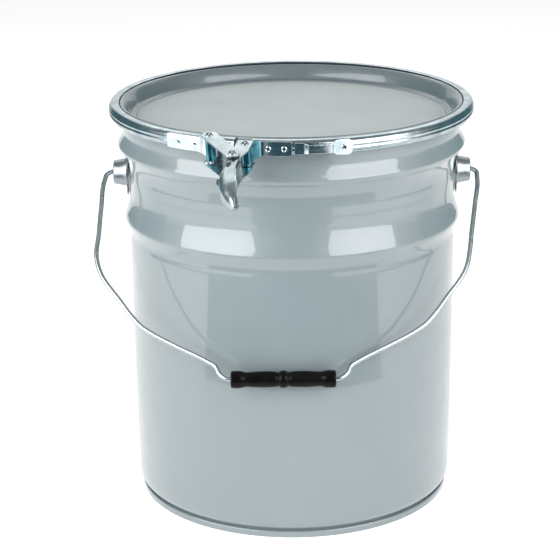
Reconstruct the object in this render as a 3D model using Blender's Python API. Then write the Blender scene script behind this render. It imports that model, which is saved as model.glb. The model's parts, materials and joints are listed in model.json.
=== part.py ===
"""Conical steel pail with a recessed lid, a lever-latch closing ring and a wire bail.

The can stands on the plane z = 0 with its axis on +Z, and the latch and bail face -Y.
"""
import bpy
import bmesh
import math
from mathutils import Matrix, Vector

MM = 0.001
SEGMENTS = 60                     # facets around every part turned on the can's axis

# Can shell
SHEET = 0.8 * MM                  # sheet thickness of shell, end and lid
BASE_RADIUS = 154.4 * MM
WALL_RADIUS = 156.3 * MM          # widest part of the plain wall
WALL_TOP = 263 * MM
LOWER_BEAD_RADIUS = 160.3 * MM
LOWER_BEAD_Z = 275.5 * MM
WAIST_RADIUS = 155.0 * MM         # waist between the beads, which carries the bail ears
WAIST_Z = 315 * MM
UPPER_BEAD_RADIUS = 164.9 * MM
UPPER_BEAD_Z = 347 * MM
NECK_RADIUS = 160.4 * MM
NECK_TOP = 372 * MM
CURL_RADIUS = 2.4 * MM            # half thickness of the rolled rim
CURL_CENTRE = (162.6 * MM, 378.5 * MM)

# Bottom end and its seam
CHIME_RADIUS = 151.7 * MM
CHIME_HEIGHT = 6.5 * MM
SEAM_RADIUS = 149.7 * MM          # shell where it stands in the seam
BOTTOM_PANEL_Z = 3.0 * MM

# Lid and gasket
LID_PANEL_Z = 371 * MM
LID_PANEL_RADIUS = 146 * MM
LID_WALL_RADIUS = 158.6 * MM
LID_FLANGE_Z = 383.4 * MM
LID_SKIRT_RADIUS = 166.3 * MM

# Closing ring
RING_RADIUS = 172.5 * MM
RING_TOP = 388.4 * MM
RING_BOTTOM = 375.0 * MM
RING_SHEET = 1.0 * MM
RING_MID_Z = 0.5 * (RING_TOP + RING_BOTTOM)
RING_GAP = (-16.9, -11.7)         # degrees between the ring's two ends, from the front
RING_SAG = math.radians(0.5)      # the open ring hangs lower at the front, under its latch

# Bail and its ears
BAIL_Z = 315 * MM
WIRE_RADIUS = 2.2 * MM
EAR_BASE_X = 156.6 * MM
EAR_FACE_X = 170.5 * MM
EAR_RADIUS = 14.2 * MM
EAR_FACE_RADIUS = 11.4 * MM
BAIL_LEAN = math.radians(47.5)    # from straight down, where the grip meets the wall
BAIL_REACH = 224 * MM
BAIL_SHIFT = 9 * MM               # how far the bail leans towards -X in its ears
BAIL_SHOULDER = 95 * MM           # reach of the wire's first bend
GRIP_LENGTH = 95 * MM
GRIP_RADIUS = 8.0 * MM
GRIP_BORE = 2.6 * MM

# Latch: its plane leans outward, and pins are (along the ring, outward) from its origin
LATCH_AZIMUTH = math.radians(-14)
LATCH_TILT = math.radians(13)
LINK_PIN = (-28.0 * MM, 5.4 * MM)
LEVER_PIN = (5.6 * MM, 13.1 * MM)
TOGGLE_PIN = (0.7 * MM, 36.2 * MM)
PIN_RADIUS = 2.2 * MM
HEAD_RADIUS = 3.5 * MM
HEAD_HEIGHT = 0.9 * MM
BARREL_RADIUS = 3.8 * MM          # to the middle of the curled leaf
LEAF = 1.2 * MM                   # thickness of the bracket leaves
FIT = 0.35 * MM                   # clearance between touching pieces
LEVER_HALF = 11.0 * MM            # half height over the lever's flanges
LINK_HALF = 13.7 * MM             # half height over the link's flanges
CHANNEL = 1.2 * MM                # thickness of lever and link
LINK_HALF_WIDTH = 6.8 * MM
RIVET_RADIUS = 1.6 * MM

PAINT = ("grey_paint", (0.36, 0.42, 0.45), 0.25, 0.0)
ZINC = ("zinc", (0.62, 0.66, 0.70), 0.28, 1.0)
WIRE = ("wire", (0.45, 0.46, 0.47), 0.35, 1.0)
PLASTIC = ("black_plastic", (0.012, 0.012, 0.013), 0.3, 0.0)
RUBBER = ("gasket_rubber", (0.05, 0.05, 0.05), 0.7, 0.0)


def clear_scene():
    for old in list(bpy.data.objects):
        bpy.data.objects.remove(old, do_unlink=True)


def material(spec):
    name, colour, roughness, metallic = spec
    found = bpy.data.materials.get(name)
    if found:
        return found
    made = bpy.data.materials.new(name)
    made.use_nodes = True
    shader = made.node_tree.nodes["Principled BSDF"]
    shader.inputs["Base Color"].default_value = (*colour, 1.0)
    shader.inputs["Roughness"].default_value = roughness
    shader.inputs["Metallic"].default_value = metallic
    return made


def finish(name, bm, spec, place=None, sharp=35):
    """Turn a bmesh into a named object with outward faces."""
    bmesh.ops.remove_doubles(bm, verts=bm.verts, dist=1e-6)
    bmesh.ops.recalc_face_normals(bm, faces=bm.faces)
    mesh = bpy.data.meshes.new(name)
    bm.to_mesh(mesh)
    bm.free()
    mesh.shade_smooth()
    mesh.set_sharp_from_angle(angle=math.radians(sharp))
    mesh.materials.append(material(spec))
    made = bpy.data.objects.new(name, mesh)
    bpy.context.scene.collection.objects.link(made)
    if place:
        made.matrix_world = place
    return made


def arc(centre, radius, start, end, steps):
    """Points on a circle arc, angles in degrees."""
    points = []
    for i in range(steps + 1):
        angle = math.radians(start + (end - start) * i / steps)
        points.append((centre[0] + radius * math.cos(angle), centre[1] + radius * math.sin(angle)))
    return points


def curve_through(p0, p1, p2, p3, steps):
    """Cubic Bezier from p0 to p3 with handles p1 and p2."""
    points = []
    for i in range(steps + 1):
        u = i / steps
        v = 1 - u
        weights = (v ** 3, 3 * v * v * u, 3 * v * u * u, u ** 3)
        points.append(tuple(sum(w * p[k] for w, p in zip(weights, (p0, p1, p2, p3))) for k in (0, 1)))
    return points


def add_turned(bm, profile, steps, start=0.0, sweep=360.0):
    """Spin a closed (radius, height) outline about Z; azimuth 0 faces -Y."""
    first = math.radians(start - 90)
    corners = [bm.verts.new((r * math.cos(first), r * math.sin(first), z)) for r, z in profile]
    if sweep < 360:
        outline = [bm.faces.new(corners)]
    else:
        edges = [bm.edges.new(pair) for pair in zip(corners, corners[1:] + corners[:1])]
        outline = corners + edges
    bmesh.ops.spin(bm, geom=outline, cent=(0, 0, 0), axis=(0, 0, 1), angle=math.radians(sweep),
                   steps=steps, use_merge=False, use_normal_flip=False)


def turned(name, profile, spec, steps=SEGMENTS, place=None, start=0.0, sweep=360.0):
    bm = bmesh.new()
    add_turned(bm, profile, steps, start, sweep)
    return finish(name, bm, spec, place)


def loft(name, rings, spec):
    """Skin a row of matching cross-sections and cap both ends."""
    bm = bmesh.new()
    rows = [[bm.verts.new(p) for p in ring] for ring in rings]
    count = len(rows[0])
    for lower, upper in zip(rows, rows[1:]):
        for i in range(count):
            j = (i + 1) % count
            bm.faces.new((lower[i], lower[j], upper[j], upper[i]))
    bm.faces.new(reversed(rows[0]))
    bm.faces.new(rows[-1])
    return finish(name, bm, spec)


def cut(target, cutter):
    """Subtract a wire-display cutter."""
    cutter.hide_render = True
    cutter.display_type = "WIRE"
    boolean = target.modifiers.new("cut_" + cutter.name, "BOOLEAN")
    boolean.operation = "DIFFERENCE"
    boolean.solver = "EXACT"
    boolean.object = cutter


def offset_outline(points, thickness):
    """Points moved sideways to the right of their direction of travel."""
    moved = []
    for i, (x, y) in enumerate(points):
        ax, ay = points[max(i - 1, 0)]
        bx, by = points[min(i + 1, len(points) - 1)]
        length = math.hypot(bx - ax, by - ay)
        moved.append((x + thickness * (by - ay) / length, y - thickness * (bx - ax) / length))
    return moved


# ---------------------------------------------------------------- can, end and lid
def shell_outline(rounding):
    """Side of the shell from its foot to the top of the neck, the beads finer with rounding."""
    lower_foot = (156.2 * MM, WALL_TOP)
    lower_head = (155.4 * MM, 297.5 * MM)
    upper_foot = (156.6 * MM, 332 * MM)
    upper_head = (NECK_RADIUS, 358.5 * MM)
    points = [(SEAM_RADIUS, 1.6 * MM), (SEAM_RADIUS, 8.4 * MM), (151.2 * MM, 9.6 * MM)]
    points += [(153.6 * MM, 12.6 * MM), (BASE_RADIUS, 17 * MM), (155.6 * MM, 84 * MM)]
    points += [(WALL_RADIUS, 160 * MM), lower_foot]
    points += bead(lower_foot, (LOWER_BEAD_RADIUS, LOWER_BEAD_Z), lower_head, rounding)
    points += [lower_head, (WAIST_RADIUS, WAIST_Z), (155.2 * MM, 324 * MM), upper_foot]
    points += bead(upper_foot, (UPPER_BEAD_RADIUS, UPPER_BEAD_Z), upper_head, rounding)
    points += [upper_head, (NECK_RADIUS, NECK_TOP)]
    return points


def bead(foot, crest, head, rounding):
    """Points of a rolled bead between its foot and its head: three, or five with rounding."""
    radius, height = crest
    lower = (foot[0] + 0.55 * (radius - foot[0]), height - 0.42 * (height - foot[1]))
    upper = (head[0] + 0.55 * (radius - head[0]), height + 0.42 * (head[1] - height))
    if not rounding:
        return [lower, crest, upper]
    shoulder = 0.12
    under = (radius - shoulder * (radius - foot[0]), height - 0.16 * (height - foot[1]))
    over = (radius - shoulder * (radius - head[0]), height + 0.16 * (head[1] - height))
    return [lower, under, crest, over, upper]


def build_can_body():
    outer = shell_outline(True)
    inner = [(r - SHEET, z) for r, z in shell_outline(False)]
    rim = arc(CURL_CENTRE, CURL_RADIUS, -100, 170, 7)
    profile = outer + rim + list(reversed(inner))
    return turned("can_body", profile, PAINT)


def build_bottom_end():
    floor = 1.0 * MM
    lip = 0.6 * MM
    hook = CHIME_RADIUS - 1.3 * MM
    inner_hook = SEAM_RADIUS - SHEET - 0.5 * MM
    inner_face = inner_hook - SHEET
    panel_top = BOTTOM_PANEL_Z + SHEET
    profile = [(0, BOTTOM_PANEL_Z), (inner_face, BOTTOM_PANEL_Z), (inner_face, lip)]
    profile += [(inner_face + lip, 0), (CHIME_RADIUS - lip, 0), (CHIME_RADIUS, lip)]
    profile += [(CHIME_RADIUS, CHIME_HEIGHT - lip), (CHIME_RADIUS - lip, CHIME_HEIGHT)]
    profile += [(hook, CHIME_HEIGHT - 0.3 * MM), (hook, floor), (inner_hook, floor)]
    profile += [(inner_hook, panel_top), (0, panel_top)]
    return turned("bottom_end", profile, PAINT)


def build_lid():
    top = [(0, LID_PANEL_Z), (LID_PANEL_RADIUS, LID_PANEL_Z), (LID_PANEL_RADIUS + 1 * MM, 372.3 * MM)]
    top += [(150.4 * MM, 372.8 * MM), (152.6 * MM, 374.2 * MM), (155.6 * MM, 379.0 * MM)]
    top += [(LID_WALL_RADIUS, LID_FLANGE_Z - 1.2 * MM), (160.6 * MM, LID_FLANGE_Z)]
    top += [(164.6 * MM, LID_FLANGE_Z), (LID_SKIRT_RADIUS, LID_FLANGE_Z - 1.6 * MM)]
    top += [(LID_SKIRT_RADIUS, 377.8 * MM)]
    under = offset_outline(top, SHEET)
    under[0] = (0, LID_PANEL_Z - SHEET)
    return turned("lid", top + list(reversed(under)), PAINT)


def build_gasket():
    low = CURL_CENTRE[1] + CURL_RADIUS + 0.3 * MM
    high = LID_FLANGE_Z - SHEET - 0.3 * MM
    profile = [(161.6 * MM, low), (164.4 * MM, low), (164.4 * MM, high), (161.6 * MM, high)]
    return turned("lid_gasket", profile, RUBBER)


def ring_profile():
    outer = [(162.9 * MM, 388.0 * MM), (168.0 * MM, RING_TOP)]
    outer += [(170.9 * MM, 386.6 * MM), (RING_RADIUS, 383.4 * MM), (RING_RADIUS, 379.2 * MM)]
    outer += [(171.0 * MM, 376.4 * MM), (169.2 * MM, RING_BOTTOM), (167.4 * MM, RING_BOTTOM + 0.2 * MM)]
    return outer + list(reversed(offset_outline(outer, RING_SHEET)))


def build_closing_ring():
    start = RING_GAP[1]
    sweep = 360 - (RING_GAP[1] - RING_GAP[0])
    return turned("closing_ring", ring_profile(), ZINC, SEGMENTS, ring_seat(), start, sweep)


def ring_seat():
    """The open ring's lean: it rests on the lid at the back and sags at the front."""
    hinge = Vector((0, RING_RADIUS, RING_MID_Z))
    turn = Matrix.Rotation(RING_SAG, 4, "X")
    return Matrix.Translation(hinge) @ turn @ Matrix.Translation(-hinge)


# ---------------------------------------------------------------- latch frame
def latch_axes(tilt):
    along = Vector((math.cos(LATCH_AZIMUTH), math.sin(LATCH_AZIMUTH), 0))
    out = Vector((math.sin(LATCH_AZIMUTH), -math.cos(LATCH_AZIMUTH), 0))
    up = Vector((0, 0, 1))
    tilted_out = out * math.cos(tilt) - up * math.sin(tilt)
    tilted_up = up * math.cos(tilt) + out * math.sin(tilt)
    origin = out * RING_RADIUS + up * RING_MID_Z
    return origin, along, tilted_out, tilted_up


def latch_point(plan, height, tilt=LATCH_TILT):
    origin, along, out, up = latch_axes(tilt)
    return ring_seat() @ (origin + along * plan[0] + out * plan[1] + up * height)


def latch_place(plan):
    """Matrix that stands a turned piece on a latch pin."""
    origin, along, out, up = latch_axes(LATCH_TILT)
    turn = Matrix((along, up.cross(along), up)).transposed().to_4x4()
    return ring_seat() @ Matrix.Translation(origin + along * plan[0] + out * plan[1]) @ turn


def on_ring(degrees, stand_off=0.0):
    """Plan point on the ring's outer face, measured in degrees from the latch."""
    angle = math.radians(degrees)
    radius = RING_RADIUS + stand_off
    return (radius * math.sin(angle), radius * math.cos(angle) - RING_RADIUS)


def leaf(name, path, heights, tilts):
    """A bent strip that stands on a plan path, its height and lean set at every point."""
    left = offset_outline(path, -0.5 * LEAF)
    right = offset_outline(path, 0.5 * LEAF)
    rings = []
    for a, b, height, tilt in zip(left, right, heights, tilts):
        rings.append([latch_point(a, -height, tilt), latch_point(b, -height, tilt),
                      latch_point(b, height, tilt), latch_point(a, height, tilt)])
    return loft(name, rings, ZINC)


def ramp(count, first, last):
    """Smooth values from first to last."""
    values = []
    for i in range(count):
        u = i / (count - 1)
        values.append(first + (last - first) * u * u * (3 - 2 * u))
    return values


def bracket(name, ring_span, ring_half, climb, centre, wrap, barrel_half):
    """A leaf along the ring that climbs off it and curls round a pin."""
    seat = FIT + 0.5 * LEAF
    flat = [on_ring(ring_span[0] + (ring_span[1] - ring_span[0]) * i / 6, seat) for i in range(7)]
    curl = arc(centre, BARREL_RADIUS, wrap[0], wrap[1], 14)
    rise = curve_through(flat[-1], climb[0], climb[1], curl[0], 8)[1:-1]
    path = flat + rise + curl
    heights = [ring_half] * len(flat) + ramp(len(rise) + 2, ring_half, barrel_half)[1:-1]
    heights += [barrel_half] * len(curl)
    tilts = [0.0] * len(flat) + ramp(len(rise) + 2, 0, LATCH_TILT)[1:-1] + [LATCH_TILT] * len(curl)
    return leaf(name, path, heights, tilts)


def build_left_bracket():
    centre = LINK_PIN
    climb = ((-39 * MM, -3.4 * MM), (-34 * MM, centre[1] - BARREL_RADIUS))
    return bracket("left_bracket", (-25.0, -15.0), 6.6 * MM, climb, centre, (-90, 200), 10.4 * MM)


def build_right_bracket():
    centre = LEVER_PIN
    climb = ((13.5 * MM, 0.6 * MM), (centre[0] + BARREL_RADIUS, 7 * MM))
    return bracket("right_bracket", (14.2, 5.9), 6.4 * MM, climb, centre, (0, 250), 9.2 * MM)


def build_lock_staple():
    """Riveted plate with a raised bridge for a seal."""
    seat = FIT + 0.5 * LEAF
    rise = 4.0 * MM
    stations = [(14.9, 0, 5.2), (17.2, 0, 5.2), (17.9, 0, 4.4), (18.7, rise, 3.8), (22.0, rise, 3.6)]
    stations += [(25.2, rise, 3.8), (26.1, 0, 4.6), (26.8, 0, 6.2), (27.8, 0, 7.0)]
    stations += [(30.6, 0, 7.0), (31.7, 0, 4.6)]
    path = [on_ring(angle, seat + off) for angle, off, _ in stations]
    heights = [half * MM for _, _, half in stations]
    return leaf("lock_staple", path, heights, [0.0] * len(path))


# ---------------------------------------------------------------- pins, link and lever
def pin_profile(radius, half, head_radius, head):
    """Half outline of a pin with a flat head at each end."""
    return [(0, -half - head), (head_radius * 0.8, -half - head), (head_radius, -half - 0.4 * head),
            (head_radius, -half), (radius, -half), (radius, half), (head_radius, half),
            (head_radius, half + 0.4 * head), (head_radius * 0.8, half + head), (0, half + head)]


def build_pins():
    link_pin = pin_profile(PIN_RADIUS, LINK_HALF + FIT, HEAD_RADIUS, HEAD_HEIGHT)
    turned("link_pin", link_pin, ZINC, 16, latch_place(LINK_PIN))
    lever_pin = pin_profile(PIN_RADIUS, LEVER_HALF + 0.2 * MM, HEAD_RADIUS, HEAD_HEIGHT)
    turned("lever_pin", lever_pin, ZINC, 16, latch_place(LEVER_PIN))
    half = LEVER_HALF
    shank = [(0, -half), (PIN_RADIUS, -half), (PIN_RADIUS, half), (0, half)]
    turned("toggle_pin", shank, ZINC, 16, latch_place(TOGGLE_PIN))
    build_toggle_heads()


def build_toggle_heads():
    """Two riveted heads of the toggle pin, seated in the link's flanges."""
    base = LINK_HALF - CHANNEL
    top = LINK_HALF + FIT
    for name, side in (("toggle_pin_upper_head", 1), ("toggle_pin_lower_head", -1)):
        outline = [(0, side * base), (PIN_RADIUS, side * base), (PIN_RADIUS, side * top)]
        outline += [(HEAD_RADIUS, side * top), (HEAD_RADIUS, side * (top + 0.4 * HEAD_HEIGHT))]
        outline += [(0.8 * HEAD_RADIUS, side * (top + HEAD_HEIGHT)), (0, side * (top + HEAD_HEIGHT))]
        turned(name, outline, ZINC, 16, latch_place(TOGGLE_PIN))


def bore_cutter(name, plan, radius, half):
    outline = [(0, -half), (radius, -half), (radius, half), (0, half)]
    return turned(name, outline, ZINC, 16, latch_place(plan))


def channel_section(point, inner, half, top_width, bottom_width, roundness):
    """Twelve corners of a U-section with eased bends, from the web's foot round to its head."""
    across = ((inner[0] - point[0]) / CHANNEL, (inner[1] - point[1]) / CHANNEL)
    bend = min(2.0 * MM + roundness * 2.2 * MM, 0.5 * half)
    wall = min(CHANNEL, 0.4 * half)
    inside = wall + 0.4 * bend
    corners = [(0, -half + bend), (bend, -half), (bottom_width, -half), (bottom_width, -half + wall)]
    corners += [(inside, -half + wall), (CHANNEL, -half + inside), (CHANNEL, half - inside)]
    corners += [(inside, half - wall), (top_width, half - wall), (top_width, half)]
    corners += [(bend, half), (0, half - bend)]
    return [latch_point((point[0] + across[0] * reach, point[1] + across[1] * reach), height)
            for reach, height in corners]


def lever_web():
    """Web line of the open lever: straight past the pins, then sweeping round like the ring."""
    points = [(-3.4 * MM, 7.0 * MM)]
    heading = math.radians(0.5)
    step = 4.8 * MM
    for i in range(22):
        x, y = points[-1]
        points.append((x + step * math.sin(heading), y + step * math.cos(heading)))
        if i >= 11:
            heading += math.radians(5.0)
    return points


def eased(value, start, end):
    """0 before start, 1 after end, smooth between."""
    u = min(max((value - start) / (end - start), 0), 1)
    return u * u * (3 - 2 * u)


def build_lever():
    """Channel lever: wide flanges round its pins, a waist, a broad grip and a spooned tip."""
    web = lever_web()
    inner = offset_outline(web, CHANNEL)
    sections = []
    for i, point in enumerate(web):
        u = i / (len(web) - 1)
        width = 15.0 * MM - 4.2 * MM * eased(u, 0.15, 0.34) + 3.6 * MM * eased(u, 0.38, 0.67)
        top = width - (width - 4.4 * MM) * eased(u, 0.72, 1.0)
        bottom = width - (width - 6.0 * MM) * eased(u, 0.80, 1.0)
        half = LEVER_HALF - 5.6 * MM * eased(u, 0.74, 1.06)
        sections.append(channel_section(point, inner[i], half, top, bottom, eased(u, 0.3, 0.7)))
    lever = loft("latch_lever", sections, ZINC)
    cut(lever, bore_cutter("lever_pin_bore", LEVER_PIN, PIN_RADIUS + FIT, 20 * MM))
    cut(lever, bore_cutter("toggle_pin_bore", TOGGLE_PIN, PIN_RADIUS + FIT, 20 * MM))
    return lever


def build_link():
    """Two round-ended flanges joined by a short web on the drum side."""
    dx = TOGGLE_PIN[0] - LINK_PIN[0]
    dy = TOGGLE_PIN[1] - LINK_PIN[1]
    reach = math.hypot(dx, dy)
    heading = math.degrees(math.atan2(dy, dx))
    radius = LINK_HALF_WIDTH
    outline = arc(TOGGLE_PIN, radius, heading - 90, heading + 90, 8)
    outline += arc(LINK_PIN, radius, heading + 90, heading + 270, 8)
    unit = (dx / reach, dy / reach)
    right = (unit[1], -unit[0])

    def local(along, across):
        return (LINK_PIN[0] + unit[0] * along + right[0] * across,
                LINK_PIN[1] + unit[1] * along + right[1] * across)

    web = [local(-2 * MM, radius - CHANNEL), local(11 * MM, radius - CHANNEL)]
    web += [local(11 * MM, radius), local(-2 * MM, radius)]
    link = prism("latch_link", outline, LINK_HALF - CHANNEL, LINK_HALF)
    lower = prism("link_lower_flange", outline, -LINK_HALF, -LINK_HALF + CHANNEL)
    wall = prism("link_web", web, -LINK_HALF + 0.5 * CHANNEL, LINK_HALF - 0.5 * CHANNEL)
    for piece in (lower, wall):
        join(link, piece)
    cut(link, bore_cutter("link_pin_bore", LINK_PIN, PIN_RADIUS + FIT, 20 * MM))
    cut(link, bore_cutter("link_toggle_bore", TOGGLE_PIN, PIN_RADIUS + FIT, 20 * MM))
    return link


def prism(name, outline, low, high):
    """A flat plate in the latch frame."""
    return loft(name, [[latch_point(p, low) for p in outline], [latch_point(p, high) for p in outline]], ZINC)


def join(target, piece):
    piece.hide_render = True
    piece.display_type = "WIRE"
    boolean = target.modifiers.new("join_" + piece.name, "BOOLEAN")
    boolean.operation = "UNION"
    boolean.solver = "EXACT"
    boolean.object = piece


def ring_face_place(degrees):
    """Matrix at the ring's outer face whose Z points outward."""
    angle = LATCH_AZIMUTH + math.radians(degrees)
    out = Vector((math.sin(angle), -math.cos(angle), 0))
    along = Vector((math.cos(angle), math.sin(angle), 0))
    turn = Matrix((along, out.cross(along), out)).transposed().to_4x4()
    return ring_seat() @ Matrix.Translation(out * RING_RADIUS + Vector((0, 0, RING_MID_Z))) @ turn


def rivet_profile():
    head = FIT + LEAF + FIT
    radius = RIVET_RADIUS
    tail = -RING_SHEET - 1.1 * MM
    return [(0, tail), (radius + 0.5 * MM, tail), (radius + 0.5 * MM, tail + 0.35 * MM),
            (radius, tail + 0.35 * MM), (radius, head), (2.7 * MM, head), (2.4 * MM, head + 0.7 * MM),
            (0, head + 0.9 * MM)]


def build_rivets(ring, right_bracket, staple):
    """Rivets through the right bracket and the staple, each in a hole cut through to the ring."""
    radius = RIVET_RADIUS + FIT
    reach = 3 * MM
    outline = [(0, -reach), (radius, -reach), (radius, reach), (0, reach)]
    rivets = (("bracket_rivet_1", 7.3, right_bracket), ("bracket_rivet_2", 11.9, right_bracket),
              ("staple_rivet", 29.4, staple))
    for name, angle, plate in rivets:
        place = ring_face_place(angle)
        hole = turned(name + "_hole", outline, ZINC, 12, place)
        cut(plate, hole)
        cut(ring, hole)
        turned(name, rivet_profile(), ZINC, 12, place)


# ---------------------------------------------------------------- bail
def build_ear(name, side):
    """Pressed cup on a tongue-shaped base plate."""
    turn = Matrix.Rotation(math.radians(90 * side), 4, "Y")
    place = Matrix.Translation((0, 0, BAIL_Z)) @ turn
    base = EAR_BASE_X
    face = EAR_FACE_X
    hole = WIRE_RADIUS + 0.5 * MM
    wall = 1.1 * MM
    profile = [(hole, face), (EAR_FACE_RADIUS - 1.2 * MM, face), (EAR_FACE_RADIUS, face - 1.2 * MM)]
    profile += [(EAR_RADIUS - 1.0 * MM, base + 2 * MM), (EAR_RADIUS + 0.8 * MM, base + wall)]
    profile += [(EAR_RADIUS + 0.8 * MM, base), (EAR_RADIUS - 2 * wall, base)]
    profile += [(EAR_FACE_RADIUS - wall, face - 2 * wall), (hole, face - wall)]
    cup = turned(name, profile, ZINC, 24, place)
    low = BAIL_Z - 20.5 * MM
    half = 11 * MM
    outline = [(-half, low + 3 * MM), (-half + 3 * MM, low), (half - 3 * MM, low), (half, low + 3 * MM)]
    outline += [(half + 2 * MM, BAIL_Z - 3 * MM), (-half - 2 * MM, BAIL_Z - 3 * MM)]
    faces = (base + 0.1 * MM, base + 0.9 * MM)
    rings = [[(side * x, y, z) for y, z in outline] for x in faces]
    plate = loft(name + "_tongue", rings, ZINC)
    inside = EAR_RADIUS - 2 * wall
    opening = [(0, base - 4 * MM), (inside, base - 4 * MM), (inside, base + 4 * MM), (0, base + 4 * MM)]
    mouth = turned(name + "_mouth", opening, ZINC, 24, place)
    cut(plate, mouth)
    join(cup, plate)
    return cup


def bail_point(x, reach):
    """World point of the bail's plane: sideways place and distance from the hinge line."""
    shift = BAIL_SHIFT * min(reach / BAIL_SHOULDER, 1)
    return Vector((x - shift, -reach * math.sin(BAIL_LEAN), BAIL_Z - reach * math.cos(BAIL_LEAN)))


BAIL_SIDE = (
    (0.1600, 0.0), (0.1740, 0.0), (0.1786, 0.0035), (0.1796, 0.011), (0.1790, 0.040),
    (0.1772, 0.070), (0.1762, 0.094), (0.1728, 0.107), (0.1500, 0.1425), (0.1370, 0.1610),
    (0.1300, 0.1690), (0.1200, 0.1765), (0.0960, 0.1905), (0.0680, 0.2060), (0.0615, 0.2105),
    (0.0575, 0.2185), (0.0520, 0.2230), (0.0460, 0.2240),
)


def smooth_path(points, per_span):
    """Catmull-Rom curve through the points."""
    path = []
    last = len(points) - 1
    for i in range(last):
        a = points[max(i - 1, 0)]
        b = points[i]
        c = points[i + 1]
        d = points[min(i + 2, last)]
        for k in range(per_span):
            u = k / per_span
            path.append(0.5 * ((2 * b) + (c - a) * u + (2 * a - 5 * b + 4 * c - d) * u * u
                               + (3 * b - a - 3 * c + d) * u ** 3))
    path.append(points[-1])
    return path


def build_bail_wire():
    left = [bail_point(-x, s) for x, s in BAIL_SIDE]
    right = [bail_point(x, s) for x, s in reversed(BAIL_SIDE)]
    path = smooth_path(left, 2) + smooth_path(right, 2)
    sides = 8
    across = Vector((0, math.cos(BAIL_LEAN), -math.sin(BAIL_LEAN)))
    rings = []
    last = len(path) - 1
    for i, point in enumerate(path):
        ahead = (path[min(i + 1, last)] - path[max(i - 1, 0)]).normalized()
        other = ahead.cross(across).normalized()
        ring = []
        for k in range(sides):
            angle = 2 * math.pi * k / sides
            ring.append(point + WIRE_RADIUS * (across * math.cos(angle) + other * math.sin(angle)))
        rings.append(ring)
    return loft("bail_wire", add_upsets(rings, path), WIRE)


def add_upsets(rings, path):
    """Flattened heads that hold the wire's ends in the ears."""
    head = 4.2 * MM / WIRE_RADIUS
    depth = 2.0 * MM

    def grown(ring, centre, shift, scale):
        return [centre + shift + (p - centre) * scale for p in ring]

    first = Vector((1, 0, 0))
    start = [grown(rings[0], path[0], first * (depth + 0.8 * MM), head * 0.8),
             grown(rings[0], path[0], first * depth, head),
             grown(rings[0], path[0], first * 0.5 * MM, head)]
    end = [grown(rings[-1], path[-1], -first * 0.5 * MM, head),
           grown(rings[-1], path[-1], -first * depth, head),
           grown(rings[-1], path[-1], -first * (depth + 0.8 * MM), head * 0.8)]
    return start + rings + end


def grip_outline():
    """Half of the turned grip, from its middle ball to the end collar."""
    half = 0.5 * GRIP_LENGTH
    r = GRIP_RADIUS
    return [(0.98 * r, 0), (0.93 * r, 2.6 * MM), (0.80 * r, 4.6 * MM), (0.84 * r, 6.4 * MM),
            (0.90 * r, 11 * MM), (0.92 * r, 18 * MM), (0.88 * r, 27 * MM), (0.83 * r, 33.0 * MM),
            (0.92 * r, 36.5 * MM), (1.0 * r, 40.5 * MM), (1.0 * r, half - 2.2 * MM), (0.88 * r, half)]


def build_grip():
    half = grip_outline()
    left = [(r, -x) for r, x in reversed(half[1:])]
    bore = [(GRIP_BORE, 0.5 * GRIP_LENGTH), (GRIP_BORE, 0), (GRIP_BORE, -0.5 * GRIP_LENGTH)]
    place = Matrix.Translation(bail_point(0, BAIL_REACH)) @ Matrix.Rotation(math.radians(90), 4, "Y")
    return turned("bail_grip", left + half + bore, PLASTIC, 16, place)


def main():
    clear_scene()
    build_can_body()
    build_bottom_end()
    build_lid()
    build_gasket()
    ring = build_closing_ring()
    build_left_bracket()
    right_bracket = build_right_bracket()
    staple = build_lock_staple()
    build_rivets(ring, right_bracket, staple)
    build_pins()
    build_link()
    build_lever()
    build_ear("left_bail_ear", -1)
    build_ear("right_bail_ear", 1)
    build_bail_wire()
    build_grip()


main()
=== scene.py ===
"""Looks of a conical steel pail: grey gloss paint, zinc-plated lever-latch ring, wire bail.

Lengths are in metres, the can stands on z = 0 with its axis on +Z, and the latch faces -Y.
"""
import json
import math
import bmesh
import bpy
from mathutils import Matrix, Vector

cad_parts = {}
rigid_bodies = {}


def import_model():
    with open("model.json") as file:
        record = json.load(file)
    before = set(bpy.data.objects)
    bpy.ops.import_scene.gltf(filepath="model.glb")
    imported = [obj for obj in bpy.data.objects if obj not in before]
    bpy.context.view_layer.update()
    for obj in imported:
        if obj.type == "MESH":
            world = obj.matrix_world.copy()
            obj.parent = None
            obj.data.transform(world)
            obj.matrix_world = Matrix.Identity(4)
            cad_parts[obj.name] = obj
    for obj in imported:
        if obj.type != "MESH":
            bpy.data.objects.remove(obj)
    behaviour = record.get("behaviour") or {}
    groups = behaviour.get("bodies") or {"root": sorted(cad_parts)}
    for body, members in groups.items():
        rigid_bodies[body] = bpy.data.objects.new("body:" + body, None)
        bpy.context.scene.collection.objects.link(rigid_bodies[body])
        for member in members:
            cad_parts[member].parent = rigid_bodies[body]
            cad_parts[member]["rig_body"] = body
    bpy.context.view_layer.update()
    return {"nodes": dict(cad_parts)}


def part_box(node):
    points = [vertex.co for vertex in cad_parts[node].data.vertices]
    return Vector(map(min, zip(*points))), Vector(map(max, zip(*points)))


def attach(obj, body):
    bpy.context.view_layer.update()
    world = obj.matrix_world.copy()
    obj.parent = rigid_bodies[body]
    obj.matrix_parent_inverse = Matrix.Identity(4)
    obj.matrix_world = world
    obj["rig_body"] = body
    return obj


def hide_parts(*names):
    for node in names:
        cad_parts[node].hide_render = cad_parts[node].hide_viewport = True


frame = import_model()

MM = 0.001

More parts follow.
